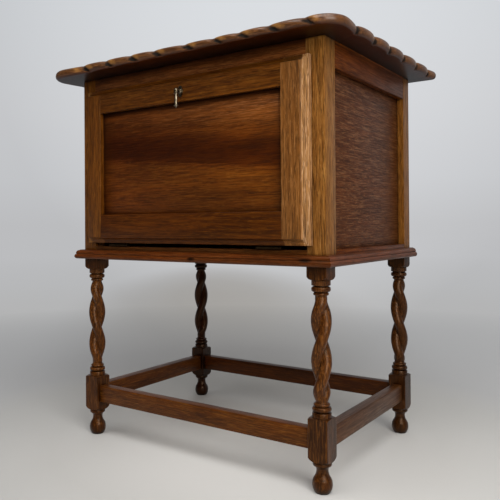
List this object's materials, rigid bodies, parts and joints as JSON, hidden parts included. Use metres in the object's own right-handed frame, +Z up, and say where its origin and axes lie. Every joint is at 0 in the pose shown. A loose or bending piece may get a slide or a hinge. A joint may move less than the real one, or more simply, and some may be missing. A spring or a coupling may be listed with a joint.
{
  "type": "side cabinet",
  "caption": "Oak side cabinet with a scalloped pie-crust top, a panelled fall front on quadrant stays and barley-twist legs joined by a box of stretchers",
  "frame": {"origin": "on the floor, at the centre of the base of the bounding box", "axes": "+Z up, +X to the right of someone who faces the fall front, which faces -Y"},
  "size_m": [0.668, 0.51, 0.774],
  "materials": {
    "top_oak": "polished dark oak, worn to gold on the carved edge",
    "inner_oak": "unfinished oak",
    "leg_oak": "polished dark oak",
    "stretcher_oak": "polished dark oak",
    "post_oak": "polished oak with upright grain",
    "rail_oak": "polished oak",
    "panel_oak": "polished dark oak with flecks",
    "plywood": "unfinished plywood",
    "moulding_oak": "polished dark oak",
    "stile_oak": "polished oak with upright grain",
    "door_rail_oak": "polished oak with level grain",
    "door_panel_oak": "polished red-brown oak",
    "brass": "dulled brass",
    "steel": "spring steel",
    "pull_metal": "aged brass with a silvery wear"
  },
  "bodies": {
    "cabinet": {"top_board": "top_oak", "top_buttons": "inner_oak", "button_screws": "steel", "leg_front_left": "leg_oak", "leg_front_right": "leg_oak", "leg_back_left": "leg_oak", "leg_back_right": "leg_oak", "stretcher_front": "stretcher_oak", "stretcher_back": "stretcher_oak", "stretcher_left": "stretcher_oak", "stretcher_right": "stretcher_oak", "post_front_left": "post_oak", "post_front_right": "post_oak", "post_back_left": "post_oak", "post_back_right": "post_oak", "front_top_rail": "rail_oak", "front_bottom_rail": "rail_oak", "back_top_rail": "rail_oak", "back_bottom_rail": "rail_oak", "side_top_rail_left": "rail_oak", "side_top_rail_right": "rail_oak", "side_bottom_rail_left": "rail_oak", "side_bottom_rail_right": "rail_oak", "side_panel_left": "panel_oak", "side_panel_right": "panel_oak", "back_panel": "plywood", "floor_panel": "plywood", "base_moulding_front": "moulding_oak", "base_moulding_left": "moulding_oak", "base_moulding_right": "moulding_oak", "hinge_fixed_leaf_left": "brass", "hinge_fixed_leaf_right": "brass", "hinge_pin_left": "brass", "hinge_pin_right": "brass", "stay_guide_left": "brass", "stay_guide_right": "brass", "catch_clip": "steel", "body_screws": "brass"},
    "fall_front": {"door_stile_left": "stile_oak", "door_stile_right": "stile_oak", "door_top_rail": "door_rail_oak", "door_bottom_rail": "door_rail_oak", "door_panel": "door_panel_oak", "hinge_moving_leaf_left": "brass", "hinge_moving_leaf_right": "brass", "stay_arc_left": "brass", "stay_arc_right": "brass", "catch_stud": "brass", "pull_plate": "pull_metal", "pull_pillar": "pull_metal", "pull_nut": "pull_metal", "door_screws": "brass"},
    "drop": {"pull_drop": "pull_metal", "pull_pin": "pull_metal"}
  },
  "joints": [
    {"name": "fall_front_hinge", "type": "hinge", "parent": "cabinet", "child": "fall_front", "pos_m": [0, -0.197, 0.40675], "axis": [1, 0, 0], "range_deg": [0, 90]},
    {"name": "drop_pivot", "type": "hinge", "parent": "fall_front", "child": "drop", "pos_m": [0, -0.2285, 0.697], "axis": [-1, 0, 0], "range_deg": [-8, 95]}
  ]
}
